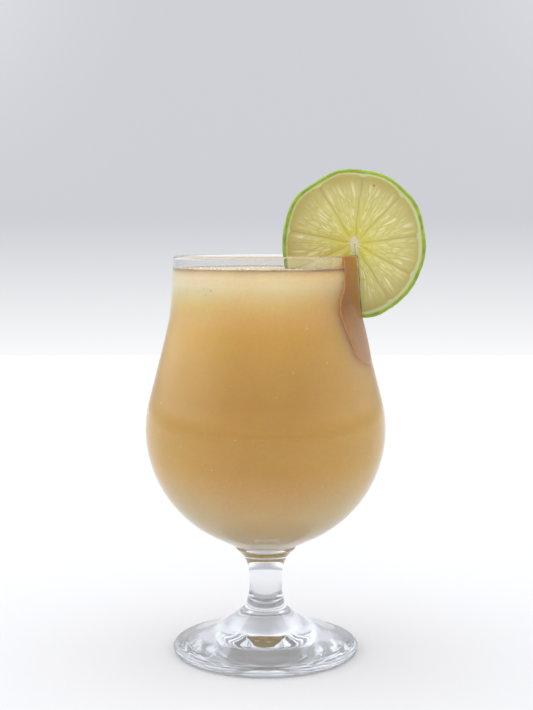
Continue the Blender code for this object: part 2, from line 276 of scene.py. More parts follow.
def glass_outline():
    """From the lowest point inside, over the rim, and down the outside to the foot's centre."""
    waist_r, waist_z = STEM_WAIST
    bowl = outer_bowl()
    cone_steps = 14
    cone = [
        tuple(a + (b - a) * i / cone_steps for a, b in zip(bowl[-1], STEM_TOP))
        for i in range(1, cone_steps + 1)
    ]
    flare = curve(STEM_TOP, (10.8 * MM, 37.4 * MM), (waist_r, waist_z + 11.5 * MM), STEM_WAIST, 30)
    spread = curve(STEM_WAIST, (waist_r, waist_z - 4.5 * MM), (7.1 * MM, 18.4 * MM), STEM_FOOT, 24)
    slope = curve(STEM_FOOT, (13.0 * MM, 12.2 * MM), (24.0 * MM, 4.6 * MM), FOOT_LIP, 40)
    edge = (FOOT_RADIUS, 1.5 * MM)
    over = curve(FOOT_LIP, (34.7 * MM, 2.75 * MM), (FOOT_RADIUS, 2.2 * MM), edge, 10)
    under = curve(edge, (FOOT_RADIUS, 0.7 * MM), (34.2 * MM, 0.0), (FOOT_FLAT_RADIUS, 0.0), 12)
    radii = np.linspace(FOOT_FLAT_RADIUS, 0.0, 80)
    rises = np.interp(radii, *zip(*FOOT_HOLLOW))
    heights = np.cumsum((rises[1:] + rises[:-1]) / 2 * -np.diff(radii))
    base = [(float(r), max(float(h), 0.0)) for r, h in zip(radii[1:], heights)]
    outline = inner_wall() + rim_rounding() + bowl + cone + flare + spread + slope
    outline += over + under + base
    outline = eased_corner(outline, STEM_GROOVE, STEM_GROOVE_REACH)
    return eased_corner(outline, STEM_FOOT, STEM_FOOT_REACH)


def radius_at(points, height):
    """Radius where a line of (radius, height) points passes a height."""
    for (r0, z0), (r1, z1) in zip(points, points[1:]):
        if min(z0, z1) <= height <= max(z0, z1) and z0 != z1:
            return r0 + (r1 - r0) * (height - z0) / (z1 - z0)
    return points[-1][0]


def value_at(stations, height):
    """The value at a height, on a smooth line through stations of (height, value)."""
    rising = sorted(stations)
    heights = [h for h, _ in rising]
    values = [v for _, v in rising]
    last = len(rising) - 1
    if height <= heights[0]:
        return values[0]
    if height >= heights[-1]:
        return values[-1]
    slopes = []
    for i in range(last + 1):
        low, high = max(i - 1, 0), min(i + 1, last)
        slopes.append((values[high] - values[low]) / (heights[high] - heights[low]))
    i = bisect.bisect_right(heights, height) - 1
    step = heights[i + 1] - heights[i]
    t = (height - heights[i]) / step
    return (
        values[i] * (1 + 2 * t) * (1 - t) ** 2
        + slopes[i] * step * t * (1 - t) ** 2
        + values[i + 1] * t * t * (3 - 2 * t)
        - slopes[i + 1] * step * t * t * (1 - t)
    )


# Meshes


def piece_of(name, points, faces, materials):
    """A smooth-shaded mesh object."""
    mesh = bpy.data.meshes.new(name)
    mesh.from_pydata([tuple(p) for p in points], [], faces)
    mesh.update()
    mesh.shade_smooth()
    for material in materials:
        mesh.materials.append(material)
    made = bpy.data.objects.new(name, mesh)
    bpy.context.scene.collection.objects.link(made)
    return made


def turned(name, outline, segments, materials):
    """A solid of revolution from an outline that starts and ends on the axis."""
    rings = [p for p in outline if p[0] > 1e-6]
    angles = np.linspace(0, 2 * math.pi, segments, endpoint=False)
    points = [
        (r * math.cos(a), r * math.sin(a), z) for r, z in rings for a in angles
    ]
    start, end = len(points), len(points) + 1
    points += [(0.0, 0.0, outline[0][1]), (0.0, 0.0, outline[-1][1])]
    faces = []
    last = (len(rings) - 1) * segments
    for k in range(segments):
        j = (k + 1) % segments
        faces.append((start, k, j))
        faces.append((end, last + j, last + k))
    for i in range(len(rings) - 1):
        a, b = i * segments, (i + 1) * segments
        for k in range(segments):
            j = (k + 1) % segments
            faces.append((a + k, b + k, b + j, a + j))
    return piece_of(name, points, faces, materials)


def cut_out(piece, cutters):
    """Takes the cutters' volumes off a piece for good, and removes the cutters."""
    for cutter in cutters:
        boolean = piece.modifiers.new("Cut", "BOOLEAN")
        boolean.operation = "DIFFERENCE"
        boolean.object = cutter
    graph = bpy.context.evaluated_depsgraph_get()
    cut = bpy.data.meshes.new_from_object(piece.evaluated_get(graph))
    piece.modifiers.clear()
    piece.data = cut
    for cutter in cutters:
        bpy.data.objects.remove(cutter)


def prism(name, outline, y_low, y_high):
    """A cutter: an outline in the XZ plane, drawn out along Y."""
    count = len(outline)
    points = [(x, y, z) for y in (y_low, y_high) for x, z in outline]
    sides = [(i, (i + 1) % count, count + (i + 1) % count, count + i) for i in range(count)]
    caps = [tuple(range(count - 1, -1, -1)), tuple(range(count, 2 * count))]
    made = piece_of(name, points, sides + caps, [])
    shape = bmesh.new()
    shape.from_mesh(made.data)
    bmesh.ops.recalc_face_normals(shape, faces=shape.faces)
    shape.to_mesh(made.data)
    shape.free()
    return made


def beads(name, places, material, detail=2):
    """Many small balls joined in one mesh, from (x, y, z, radius)."""
    shape = bmesh.new()
    bmesh.ops.create_icosphere(shape, subdivisions=detail, radius=1.0)
    ball = np.array([v.co for v in shape.verts])
    sides = [tuple(v.index for v in f.verts) for f in shape.faces]
    shape.free()
    points, faces = [], []
    for x, y, z, radius in places:
        start = len(points)
        points += [tuple(p) for p in ball * radius + np.array((x, y, z))]
        faces += [tuple(start + i for i in f) for f in sides]
    return piece_of(name, points, faces, [material])


# Materials


def hex_colour(code):
    """Linear RGBA of an sRGB hex colour."""
    parts = [int(code[i:i + 2], 16) / 255 for i in (1, 3, 5)]
    linear = [c / 12.92 if c <= 0.04045 else ((c + 0.055) / 1.055) ** 2.4 for c in parts]
    return (*linear, 1.0)


def add(tree, kind, inputs=None, **settings):
    """Adds a shader node: its settings, and its inputs as values or as sockets to link."""
    made = tree.nodes.new("ShaderNode" + kind)
    for key, value in settings.items():
        setattr(made, key, value)
    for key, value in (inputs or {}).items():
        if isinstance(value, bpy.types.NodeSocket):
            tree.links.new(value, made.inputs[key])
        else:
            made.inputs[key].default_value = value
    return made


def empty_material(name):
    """A material with an empty node tree and its output."""
    made = bpy.data.materials.new(name)
    made.use_nodes = True
    made.node_tree.nodes.clear()
    return made, made.node_tree, add(made.node_tree, "OutputMaterial")


def ramp_stops(ramp, stops):
    """Sets a colour ramp's stops, as (position, hex colour)."""
    elements = ramp.color_ramp.elements
    while len(elements) < len(stops):
        elements.new(0.5)
    for element, (position, code) in zip(elements, stops):
        element.position = position
        element.color = hex_colour(code)


def pressed_soda_lime_glass():
    """Soda-lime glass, pressed and fire-polished: mirror-smooth, clear with a faint cold tint that
    builds up in the thick foot, which is also slightly wavy, so that what shows through it is drawn
    out in streaks."""
    made, tree, output = empty_material("pressed_soda_lime_glass")
    place = add(tree, "TexCoord").outputs["Object"]
    height = add(tree, "SeparateXYZ", {"Vector": place}).outputs["Z"]
    foot = add(tree, "MapRange", {
        "Value": height, "From Min": 32 * MM, "From Max": 14 * MM, "To Min": 0.05, "To Max": 1.0,
    }).outputs["Result"]
    waves = add(tree, "TexNoise", {"Vector": place, "Scale": 1 / (11 * MM), "Detail": 2.0,
                                   "Roughness": 0.4, "Distortion": 0.6}).outputs["Fac"]
    bump = add(tree, "Bump", {"Height": waves, "Strength": foot, "Distance": 0.12 * MM})
    glass = add(tree, "BsdfPrincipled", {
        "Base Color": hex_colour("#F7F8F9"), "Roughness": 0.0, "IOR": 1.52,
        "Transmission Weight": 1.0, "Normal": bump.outputs["Normal"],
    })
    body = add(tree, "VolumeAbsorption", {"Color": hex_colour("#DCDEE0"), "Density": 21.0})
    tree.links.new(glass.outputs[0], output.inputs["Surface"])
    tree.links.new(body.outputs[0], output.inputs["Volume"])
    return made


def daiquiri_colour(tree):
    """Rum, lime and sugar blended smooth: tan, with the faint cloudiness of fine pulp. Its colour is
    painted paler near the bottom and in a band under the surface, as painted light, and darker right
    at the level, as painted shade; paler out at the sides and low at the sides, as painted light; and
    browner high up beside the lime wheel, as the wheel's painted shade. Gives the colour, the place
    and how far light scatters, which is least in the skin at the level."""
    place = add(tree, "TexCoord").outputs["Object"]
    along = add(tree, "SeparateXYZ", {"Vector": place}).outputs
    rise = add(tree, "MapRange", {
        "Value": along["Z"], "From Min": DRINK_BOTTOM, "From Max": DRINK_LEVEL,
    }).outputs["Result"]
    # Painted light and shade by height.
    by_height = add(tree, "ValToRGB", {"Fac": rise})
    ramp_stops(by_height, DAIQUIRI_COLOUR_AND_LIGHT_BY_HEIGHT)
    aside = add(tree, "Math", {0: along["X"]}, operation="ABSOLUTE").outputs[0]
    flank = add(tree, "MapRange", {
        "Value": aside, "From Min": FLANK_X[0], "From Max": FLANK_X[1],
    }).outputs["Result"]
    right = add(tree, "MapRange", {
        "Value": along["X"], "From Min": LIME_SHADE_X[0], "From Max": LIME_SHADE_X[1],
    }).outputs["Result"]
    high = add(tree, "MapRange", {
        "Value": along["Z"], "From Min": HIGH_Z[0], "From Max": HIGH_Z[1],
    }).outputs["Result"]
    lime_shade = add(tree, "Math", {0: right, 1: high}, operation="MULTIPLY").outputs[0]
    low = add(tree, "Math", {0: 1.0, 1: high}, operation="SUBTRACT").outputs[0]
    low_flank = add(tree, "Math", {0: flank, 1: low}, operation="MULTIPLY").outputs[0]
    tint = (1.0, 1.0, 1.0)
    # Paler sides as painted light, browner beside the lime as its painted shade.
    for shares, where in ((FLANK_PAINTED_LIGHT, flank), (LOW_FLANK_PAINTED_LIGHT, low_flank), (LIME_PAINTED_SHADE, lime_shade)):
        tint = add(tree, "VectorMath", {0: shares, 1: where, 2: tint},
                   operation="MULTIPLY_ADD").outputs[0]
    blend = add(tree, "VectorMath", {0: by_height.outputs["Color"], 1: tint},
                operation="MULTIPLY").outputs[0]
    clouds = add(tree, "TexNoise", {
        "Vector": place, "Scale": 1 / (14 * MM), "Detail": 3.0,
    }).outputs["Fac"]
    grain = add(tree, "TexNoise", {
        "Vector": place, "Scale": 1 / (0.9 * MM), "Detail": 2.0,
    }).outputs["Fac"]
    both = add(tree, "Math", {0: clouds, 1: grain}, operation="ADD").outputs[0]
    shade = add(tree, "MapRange", {
        "Value": both, "From Min": 0.6, "From Max": 1.4, "To Min": 0.95, "To Max": 1.05,
    }).outputs["Result"]
    colour = add(tree, "VectorMath", {0: blend, "Scale": shade}, operation="SCALE").outputs[0]
    depth = add(tree, "MapRange", {
        "Value": along["Z"], "From Min": DRINK_LEVEL - SKIN, "From Max": DRINK_LEVEL,
        "To Min": SCATTER_DEEP, "To Max": SCATTER_AT_LEVEL,
    }).outputs["Result"]
    return colour, place, depth


def daiquiri_behind_glass():
    """The drink where it wets the glass: no gloss of its own, because the glass over it has it, and
    light that enters at the sides and the top comes out again some way off."""
    made, tree, output = empty_material("daiquiri_behind_glass")
    colour, _, depth = daiquiri_colour(tree)
    drink = add(tree, "BsdfPrincipled", {
        "Base Color": colour, "Roughness": 0.7, "IOR": 1.35, "Specular IOR Level": 0.0,
        "Subsurface Weight": 1.0, "Subsurface Radius": SCATTER_SHARES, "Subsurface Scale": depth,
    }, subsurface_method="RANDOM_WALK")
    tree.links.new(drink.outputs[0], output.inputs["Surface"])
    return made


def daiquiri_surface():
    """The drink's open top: wet, but its gloss is broken up by fine froth, which pits it slightly."""
    made, tree, output = empty_material("daiquiri_surface")
    colour, place, depth = daiquiri_colour(tree)
    froth = add(tree, "TexVoronoi", {"Vector": place, "Scale": 1 / (0.8 * MM)}).outputs["Distance"]
    bump = add(tree, "Bump", {"Height": froth, "Strength": 0.5, "Distance": 0.12 * MM})
    drink = add(tree, "BsdfPrincipled", {
        "Base Color": colour, "Roughness": 0.5, "IOR": 1.35, "Specular IOR Level": 0.2,
        "Normal": bump.outputs["Normal"],
        "Subsurface Weight": 1.0, "Subsurface Radius": SCATTER_SHARES, "Subsurface Scale": depth,
    }, subsurface_method="RANDOM_WALK")
    tree.links.new(drink.outputs[0], output.inputs["Surface"])
    return made


def daiquiri_film():
    """The drink dried to a thin coat on the wall, with specks of lime in it. It is painted browner than
    the drink in the glass, as painted shade, because little light reaches it from behind, and painted
    paler up the inside of the wall and along its outside edges, as painted light."""
    made, tree, output = empty_material("daiquiri_film")
    place = add(tree, "TexCoord").outputs["Object"]
    clouds = add(tree, "TexNoise", {
        "Vector": place, "Scale": 1 / (9 * MM), "Detail": 3.0,
    }).outputs["Fac"]
    height = add(tree, "SeparateXYZ", {"Vector": place}).outputs["Z"]
    fall = add(tree, "MapRange", {
        "Value": height, "From Min": SPILL_END_Z, "From Max": GLASS_HEIGHT,
    }).outputs["Result"]
    cloudy = add(tree, "Math", {0: clouds, 1: 0.16, 2: fall}, operation="MULTIPLY_ADD").outputs[0]
    tone = add(tree, "ValToRGB", {"Fac": cloudy})
    ramp_stops(tone, FILM_COLOUR_AND_SHADE)
    # Painted light: paler up the inside of the wall, and along the edges as a painted highlight.
    edge_light = add(tree, "Attribute", attribute_name="thin_and_lit_edge").outputs["Fac"]
    edged = add(tree, "Mix", {"Factor": edge_light, "A": tone.outputs["Color"], "B": hex_colour("#D2A468")},
                data_type="RGBA").outputs["Result"]
    specks = add(tree, "TexVoronoi", {"Vector": place, "Scale": 1 / (2.6 * MM)}).outputs["Distance"]
    dark = add(tree, "MapRange", {
        "Value": specks, "From Min": 0.06, "From Max": 0.14, "To Min": 0.45, "To Max": 1.0,
    }).outputs["Result"]
    colour = add(tree, "VectorMath", {0: edged, "Scale": dark}, operation="SCALE").outputs[0]
    film = add(tree, "BsdfPrincipled", {
        "Base Color": colour, "Roughness": 0.3, "IOR": 1.35,
        "Subsurface Weight": 0.9, "Subsurface Radius": SCATTER_SHARES, "Subsurface Scale": 2 * MM,
    }, subsurface_method="RANDOM_WALK")
    tree.links.new(film.outputs[0], output.inputs["Surface"])
    return made


def froth_bubbles():
    """Air bubbles in the drink: a pale skin of froth, wet and bright."""
    made, tree, output = empty_material("froth_bubbles")
    place = add(tree, "TexCoord").outputs["Object"]
    noise = add(tree, "TexNoise", {"Vector": place, "Scale": 1 / (3 * MM)}).outputs["Fac"]
    tone = add(tree, "ValToRGB", {"Fac": noise})
    ramp_stops(tone, ((0.3, "#F8EBD0"), (0.7, "#FFFBF0")))
    froth = add(tree, "BsdfPrincipled", {
        "Base Color": tone.outputs["Color"], "Roughness": 0.25, "IOR": 1.33,
        "Subsurface Weight": 0.3, "Subsurface Radius": (1.0, 0.7, 0.4), "Subsurface Scale": 0.5 * MM,
    }, subsurface_method="RANDOM_WALK")
    tree.links.new(froth.outputs[0], output.inputs["Surface"])
    return made


def cut_lime():
    """Fresh-cut lime: juice sacs that let light through, between thin membranes, with white pith round
    them and green rind at the edge. Pale patches on the sacs are partly their own tone and partly
    painted sheen, where light glances off their sides. The flesh is yellower and brighter towards the
    core, partly its own tone and partly a painted glow of light through it. Inside the glass the lime
    is painted paler, as painted light in place of the light that the glass wall keeps from it."""
    made, tree, output = empty_material("cut_lime")
    place = add(tree, "TexCoord").outputs["Object"]
    masks = {
        name: add(tree, "Attribute", attribute_name=name).outputs["Fac"]
        for name in ("sac_tone_and_sheen", "sac_edge", "outward", "pith", "core", "rind", "membrane", "speck",
                     "painted_light_in_glass")
    }
    # The flesh is yellower and brighter towards the core, partly its own tone and partly painted glow of
    # light through it, and duller out towards the pith.
    flesh = add(tree, "ValToRGB", {"Fac": masks["outward"]})
    ramp_stops(flesh, ((0.05, "#D5CC44"), (0.35, "#D4CC74"), (0.75, "#CEC584"), (1.0, "#B8AC68")))
    peel_noise = add(tree, "TexNoise", {
        "Vector": place, "Scale": 1 / (4 * MM), "Detail": 2.0,
    }).outputs["Fac"]
    peel = add(tree, "ValToRGB", {"Fac": peel_noise})
    ramp_stops(peel, ((0.35, "#788C34"), (0.65, "#94A93A")))
    colour = flesh.outputs["Color"]
    # The pale sac patches are partly painted sheen, and the paler lime inside the glass is painted light.
    for mask, over in (
        ("sac_tone_and_sheen", hex_colour("#EEEBC2")),
        ("sac_edge", hex_colour("#C0BA54")),
        ("membrane", hex_colour("#B8AE60")),
        ("pith", hex_colour("#C4C898")),
        ("core", hex_colour("#DBD6B4")),
        ("painted_light_in_glass", hex_colour("#F6EFB2")),
        ("rind", peel.outputs["Color"]),
        ("speck", hex_colour("#6F6636")),
    ):
        colour = add(tree, "Mix", {"Factor": masks[mask], "A": colour, "B": over},
                     data_type="RGBA").outputs["Result"]
    wet = add(tree, "TexNoise", {
        "Vector": place, "Scale": 1 / (0.7 * MM), "Detail": 2.0,
    }).outputs["Fac"]
    bump = add(tree, "Bump", {"Height": wet, "Strength": 0.35, "Distance": 0.1 * MM})
    lime = add(tree, "BsdfPrincipled", {
        "Base Color": colour, "Roughness": 0.24, "IOR": 1.36, "Normal": bump.outputs["Normal"],
        "Subsurface Weight": 1.0, "Subsurface Radius": (1.0, 0.9, 0.4), "Subsurface Scale": 6 * MM,
    }, subsurface_method="RANDOM_WALK")
    tree.links.new(lime.outputs[0], output.inputs["Surface"])
    return made


def lime_peel():
    """Waxy lime peel: green, mottled lighter, pitted by its oil glands, which are about 1 mm apart."""
    made, tree, output = empty_material("lime_peel")
    place = add(tree, "TexCoord").outputs["Object"]
    blotch = add(tree, "TexNoise", {
        "Vector": place, "Scale": 1 / (5 * MM), "Detail": 3.0,
    }).outputs["Fac"]
    tone = add(tree, "ValToRGB", {"Fac": blotch})
    ramp_stops(tone, ((0.3, "#6B8226"), (0.7, "#93AC34")))
    glands = add(tree, "TexVoronoi", {"Vector": place, "Scale": 1 / (1.0 * MM)}).outputs["Distance"]
    bump = add(tree, "Bump", {"Height": glands, "Strength": 0.5, "Distance": 0.12 * MM})
    peel = add(tree, "BsdfPrincipled", {
        "Base Color": tone.outputs["Color"], "Roughness": 0.38, "IOR": 1.45,
        "Normal": bump.outputs["Normal"],
        "Subsurface Weight": 0.8, "Subsurface Radius": (0.7, 1.0, 0.25), "Subsurface Scale": 1.6 * MM,
    }, subsurface_method="RANDOM_WALK")
    tree.links.new(peel.outputs[0], output.inputs["Surface"])
    return made


def matt_paper(code):
    """Seamless studio paper: matt, pale and even, with a trace of its fibre."""
    made, tree, output = empty_material("matt_paper")
    place = add(tree, "TexCoord").outputs["Object"]
    fibre = add(tree, "TexNoise", {
        "Vector": place, "Scale": 1 / (2 * MM), "Detail": 2.0,
    }).outputs["Fac"]
    bump = add(tree, "Bump", {"Height": fibre, "Strength": 0.05, "Distance": 0.05 * MM})
    paper = add(tree, "BsdfPrincipled", {
        "Base Color": hex_colour(code), "Roughness": 1.0, "Specular IOR Level": 0.0,
        "Normal": bump.outputs["Normal"],
    })
    tree.links.new(paper.outputs[0], output.inputs["Surface"])
    return made


# The lime wheel


def lime_radius(angle):
    """The wheel's lumpy outline. The angle is in radians, anticlockwise from +X as seen from -Y."""
    waves = sum(
        height * np.cos(count * (angle - math.radians(crest)))
        for count, height, crest in LIME_LUMPS
    )
    return LIME_RADIUS + waves


def scattered(a, b, salt):
    """A repeatable number from 0 to 1 for each pair of whole numbers."""
    mixed = np.sin(a * 127.1 + b * 311.7 + salt * 74.7) * 43758.5453
    return mixed - np.floor(mixed)


def soft_noise(x, y, salt):
    """Smooth noise from -1 to 1 with features about one unit across."""
    i, j = np.floor(x), np.floor(y)
    u, v = x - i, y - j
    u, v = u * u * (3 - 2 * u), v * v * (3 - 2 * v)
    low = scattered(i, j, salt) * (1 - u) + scattered(i + 1, j, salt) * u
    high = scattered(i, j + 1, salt) * (1 - u) + scattered(i + 1, j + 1, salt) * u
    return 2 * (low * (1 - v) + high * v) - 1


def juice_sacs(angle, distance, size, salt):
    """Juice sacs are long cells that point at the core and shrink towards it. Gives, for each
    point, how near its sac's edge it is (0 on the edge, soft up to 1) and a number of the sac's
    own."""
    width, length = 0.082 * size, 0.36 * size
    bent = angle + 0.035 * soft_noise(angle * 5, np.log(distance / MM) * 2.5, salt + 5)
    u = bent / width
    v = np.log(distance / MM) / length + 0.35 * soft_noise(u * 0.6, distance / (6 * MM), salt + 6)
    i, j = np.floor(u), np.floor(v)
    nearest = np.full(u.shape, 9.0)
    second = np.full(u.shape, 9.0)
    own = np.zeros(u.shape)
    for di in (-1, 0, 1):
        for dj in (-1, 0, 1):
            a, b = i + di, j + dj
            far = np.hypot(
                a + 0.15 + 0.7 * scattered(a, b, salt) - u,
                b + 0.15 + 0.7 * scattered(a, b, salt + 1) - v,
            )
            closer = far < nearest
            second = np.where(closer, nearest, np.minimum(second, far))
            own = np.where(closer, scattered(a, b, salt + 2), own)
            nearest = np.where(closer, far, nearest)
    inward = np.clip((second - nearest) / 0.5, 0, 1)
    return inward * inward * (3 - 2 * inward), own


def lime_fields(x, y, z):
    """What the cut lime is at each point: masks from 0 to 1, and the height of its relief."""
    dx, dz = x - LIME_X, z - LIME_Z
    angle = np.arctan2(dz, dx)
    distance = np.maximum(np.hypot(dx, dz), 0.3 * MM)
    edge = lime_radius(angle) - distance
    front = y < 0
    ripple = 0.35 * MM * soft_noise(angle * 4, distance / (9 * MM), 3)
    to_membrane = np.full(angle.shape, 1.0)
    for k, m in enumerate(MEMBRANES_DEG):
        wander = 0.28 * MM * soft_noise(distance / (4 * MM), distance * 0 + k * 7.3, 11)
        turn = angle - math.radians(m)
        turn = np.arctan2(np.sin(turn), np.cos(turn))
        aside = np.where(np.abs(turn) < math.pi / 2, np.abs(distance * np.sin(turn) + wander), 1.0)
        to_membrane = np.minimum(to_membrane, aside)
    to_membrane = to_membrane - MEMBRANE_HALF
    to_pith = edge - RIND_WIDTH - PITH_WIDTH * (0.82 + 0.28 * np.cos(angle + 0.5)) + ripple
    core = 1.0 - np.hypot(dx / CORE_HALF[0], (dz - 0.2 * MM) / CORE_HALF[1])
    to_core = -core * CORE_HALF[0]
    corner = np.hypot(
        np.maximum(SEGMENT_CORNER - to_membrane, 0), np.maximum(SEGMENT_CORNER - to_pith, 0)
    )
    inside = np.minimum(np.minimum(to_membrane, to_pith), SEGMENT_CORNER - corner)
    inside = np.minimum(inside, to_core)
    pulp = np.clip(inside / (0.42 * MM) + 0.5, 0, 1)
    beyond = np.clip(1 - (to_pith + 0.2 * MM) / (0.8 * MM), 0, 1)
    salt = np.where(front, 20, 40)
    sac, own = juice_sacs(angle, distance, 1.0, salt)
    small_sac, small_own = juice_sacs(angle, distance, 0.55, salt + 9)
    outward = np.clip(distance / (LIME_RADIUS - RIND_WIDTH - PITH_WIDTH), 0, 1)
    showing = np.clip((0.98 - outward) / 0.2, 0, 1) * np.clip(to_membrane / (1.4 * MM), 0.2, 1) * pulp
    # Pale sacs: partly their own tone, partly painted sheen where light glances off them.
    tone = (0.75 * own ** 1.8 * sac + 0.45 * small_own ** 2 * small_sac) * showing
    speck = np.clip(1.6 - np.hypot(x - SPECK[0], z - SPECK[1]) / (0.32 * MM), 0, 1) * front
    rind = np.clip(1 - (edge - RIND_WIDTH + 0.4 * ripple) / (0.6 * MM), 0, 1)
    core_mask = np.clip(core * 3 + 0.5, 0, 1)
    star = 0.55 * MM * (1 - distance / (3.6 * MM)) - (to_membrane + MEMBRANE_HALF)
    core_mask = np.maximum(core_mask, np.clip(star / (0.25 * MM) + 0.5, 0, 1))
    beside_cut = np.abs(x - (LIME_X + RIM_RADIUS - RIM_WALL / 2) / 2 - 0.05 * MM)
    lips = np.clip(1.5 - beside_cut / (0.8 * MM), 0, 1) * (dz < 0) * (dz > -5 * MM)
    core_mask = np.maximum(core_mask, 0.8 * lips)
    pith = np.maximum(np.where(to_pith < SEGMENT_CORNER, 1 - pulp, 0) * (beyond > 0), core_mask)
    pith = np.maximum(pith, np.clip(-to_pith / (0.3 * MM) + 0.5, 0, 1))
    # Painted light: the lime inside the glass is painted paler, to make up for the light the glass wall
    # keeps from it.
    painted_light_in_glass = np.clip((RIM_RADIUS - RIM_WALL - x) / (0.5 * MM), 0, 1)
    painted_light_in_glass = painted_light_in_glass * np.clip((GLASS_HEIGHT - z) / (0.5 * MM), 0, 1)
    swell = np.clip(inside / (1.6 * MM), 0, 1)
    relief = pulp * (SACS_SWELL * np.sqrt(swell) + SAC_RELIEF * np.sqrt(sac) * showing)
    return {
        "sac_tone_and_sheen": tone * 0.75,
        "sac_edge": (1 - sac) * showing * 0.22,
        "outward": outward,
        "pith": pith,
        "core": core_mask,
        "rind": rind,
        "membrane": (1 - pulp) * 0.45,
        "speck": speck * 0.8,
        "painted_light_in_glass": painted_light_in_glass * 0.55,
    }, relief


def lime_points(angles, distances, depth):
    """Points of the wheel on a grid of angles and distances, all at one depth."""
    x = LIME_X + distances * np.cos(angles)
    z = LIME_Z + distances * np.sin(angles)
    return np.stack([x, np.full(x.shape, depth), z], -1)


def lime_shape(materials):
    """Two cut faces in relief, and the rounded, dimpled band of peel between them."""
    around = 600
    angles = np.linspace(0, 2 * math.pi, around, endpoint=False)
    radius = lime_radius(angles)
    shares = np.concatenate([np.linspace(0.03, 0.3, 26), np.linspace(0.3, 0.975, 110)[1:]])
    rings, on_face = [], []
    for share in shares[::-1]:
        rings.append(lime_points(angles, radius * share, -LIME_HALF))
        on_face.append(True)
    turn = 0.6 * MM
    bends = [(turn * (1 - math.sin(a)), turn * (1 - math.cos(a))) for a in np.linspace(0, math.pi / 2, 6)]
    band = [(inset, -LIME_HALF + drop) for inset, drop in bends]
    band += [(0.0, y) for y in np.linspace(-LIME_HALF + turn, LIME_HALF - turn, 9)[1:-1]]
    band += [(inset, LIME_HALF - drop) for inset, drop in bends[::-1]]
    front = rings[::-1]
    side = []
    for inset, y in band:
        pits = 0.13 * MM * soft_noise(angles * 24, np.full(around, y / (1.3 * MM)), 60)
        pits += 0.08 * MM * soft_noise(angles * 55, np.full(around, y / (0.7 * MM)), 61)
        pits *= 1 - (y / LIME_HALF) ** 4
        side.append(lime_points(angles, radius - inset + pits, y))
    back = [lime_points(angles, radius * share, LIME_HALF) for share in shares[::-1]]
    rows = front + side + back
    points = np.concatenate(rows)
    faces = []
    for i in range(len(rows) - 1):
        a, b = i * around, (i + 1) * around
        for k in range(around):
            j = (k + 1) % around
            faces.append((a + k, a + j, b + j, b + k))
    faces.append(tuple(range(around))[::-1])
    last = (len(rows) - 1) * around
    faces.append(tuple(range(last, last + around)))
    flat = np.abs(np.abs(points[:, 1]) - LIME_HALF) < 1e-6
    relief = lime_fields(points[:, 0], points[:, 1], points[:, 2])[1]
    points[:, 1] += np.where(flat, np.sign(points[:, 1]) * relief, 0.0)
    made = piece_of("lime_slice", points, faces, materials)
    band_from = len(front) + 2
    band_to = len(front) + len(side) - 3
    slots = np.zeros(len(faces), np.int32)
    slots[band_from * around:band_to * around] = 1
    made.data.polygons.foreach_set("material_index", slots)
    return made


def slit_cutter():
    """The wall of the glass with a hair of clearance, where the wheel straddles it."""
    room = 0.06 * MM
    lowest = LIME_Z - LIME_RADIUS - 4 * MM
    inside = [p for p in inner_wall(room) if p[1] > lowest]
    outside = [p for p in outer_bowl(room) if p[1] > lowest]
    return prism("slit", inside + rim_rounding(room) + outside, -2 * LIME_HALF, 2 * LIME_HALF)


def knife_cutters():
    """The cut from the core down to the rim: open at both faces, and pressed shut between them."""
    middle = RIM_RADIUS - RIM_WALL / 2
    low, high = GLASS_HEIGHT - 0.4 * MM, LIME_Z + 0.1 * MM
    outline = [
        (middle - KNIFE_HALF, low), (middle + KNIFE_HALF, low),
        (LIME_X + KNIFE_HALF, high), (LIME_X, high),
    ]
    return [
        prism("knife_front", outline, -2 * LIME_HALF, -KNIFE_UNCUT),
        prism("knife_back", outline, KNIFE_UNCUT, 2 * LIME_HALF),
    ]


def mark_lime(piece):
    """Writes the masks of the cut lime on its mesh, for the material."""
    mesh = piece.data
    places = np.empty(len(mesh.vertices) * 3)
    mesh.vertices.foreach_get("co", places)
    places = places.reshape(-1, 3)
    fields = lime_fields(places[:, 0], places[:, 1], places[:, 2])[0]
    for name, values in fields.items():
        layer = mesh.attributes.new(name, "FLOAT", "POINT")
        layer.data.foreach_set("value", np.ascontiguousarray(values, np.float32))


def lime_wheel():
    """The whole wheel: cut to straddle the wall, and with its masks."""
    piece = lime_shape([cut_lime(), lime_peel()])
    cut_out(piece, [slit_cutter(), *knife_cutters()])
    mark_lime(piece)
    return piece


# The drink


def drink_outline():
    """Up the wall, a little way into it, to the curl at the edge, and in over the top."""
    wall = inner_wall(-INTO_WALL)
    edge_z = DRINK_LEVEL + CURL_HEIGHT
    below = [p for p in wall if p[1] < edge_z - 0.1 * MM]
    edge_r = radius_at(wall, edge_z)
    curl = [
        (edge_r - CURL_WIDTH * s, DRINK_LEVEL + CURL_HEIGHT * (1 - s) ** 2.5)
        for s in np.linspace(0, 1, 9)
    ]
    top = [(r, DRINK_LEVEL) for r in np.linspace(edge_r - CURL_WIDTH, 0.0, 60)[1:]]
    return below, curl + top


